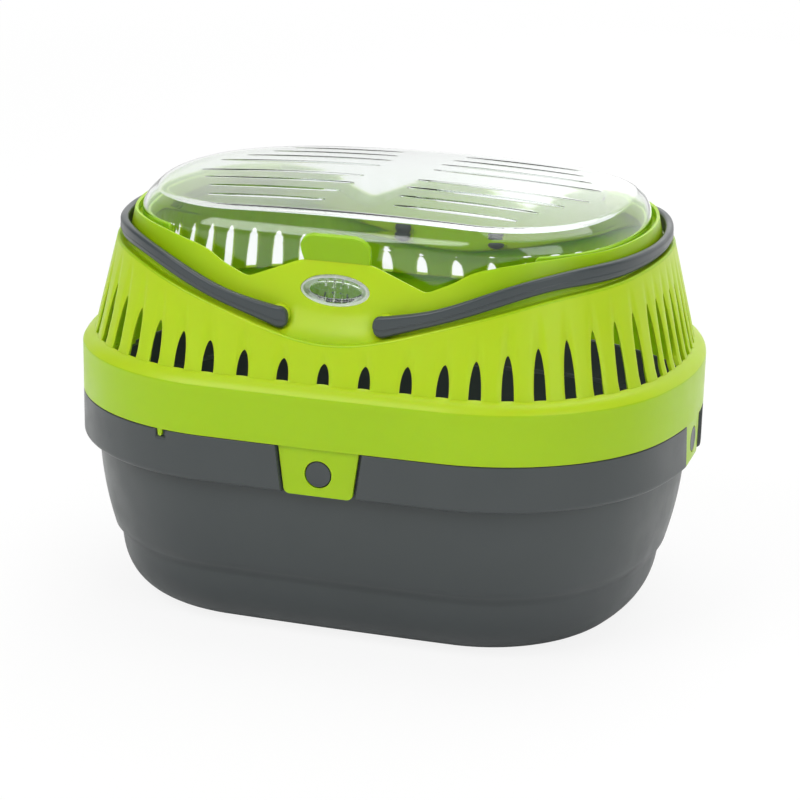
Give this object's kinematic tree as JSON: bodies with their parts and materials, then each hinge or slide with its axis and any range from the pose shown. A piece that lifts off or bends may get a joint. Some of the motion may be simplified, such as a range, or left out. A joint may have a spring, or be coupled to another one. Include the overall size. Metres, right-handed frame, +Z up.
{
  "type": "pet carrier",
  "caption": "Small hard-shell carrier with a deep tub, a vented roof, a clear lift-off lid with a latch button, and fold-down handles.",
  "frame": {"origin": "middle of the footprint on the plane the tub's underside rests on", "axes": "+X along the length, -Y out of the front with the latch button, +Z up"},
  "size_m": [0.3, 0.23, 0.2055],
  "materials": {
    "tub_plastic": "dark grey moulded plastic with a soft sheen",
    "roof_plastic": "bright lime green moulded plastic, satin to gloss",
    "clear_plastic": "clear polished plastic",
    "handle_plastic": "slightly bluish dark grey moulded plastic, satin"
  },
  "bodies": {
    "carrier": {"base_tub": "tub_plastic", "roof_shell": "roof_plastic"},
    "lid": {"lid": "clear_plastic"},
    "latch_button": {"latch_button": "clear_plastic"},
    "left_handle": {"left_handle": "handle_plastic"},
    "right_handle": {"right_handle": "handle_plastic"}
  },
  "joints": [
    {"name": "lid_lift", "type": "slide", "parent": "carrier", "child": "lid", "axis": [0, 0, 1], "range_m": [0, 0.125]},
    {"name": "latch_press", "type": "slide", "parent": "carrier", "child": "latch_button", "axis": [0, 0.9871, -0.16], "range_m": [0, 0.0015], "stiffness_N_per_m": 400},
    {"name": "left_handle_pivot", "type": "hinge", "parent": "carrier", "child": "left_handle", "pos_m": [-0.025, 0, 0.1564], "axis": [0, 1, 0], "range_deg": [0, 86]},
    {"name": "right_handle_pivot", "type": "hinge", "parent": "carrier", "child": "right_handle", "pos_m": [0.025, 0, 0.1564], "axis": [0, -1, 0], "range_deg": [0, 86]}
  ]
}
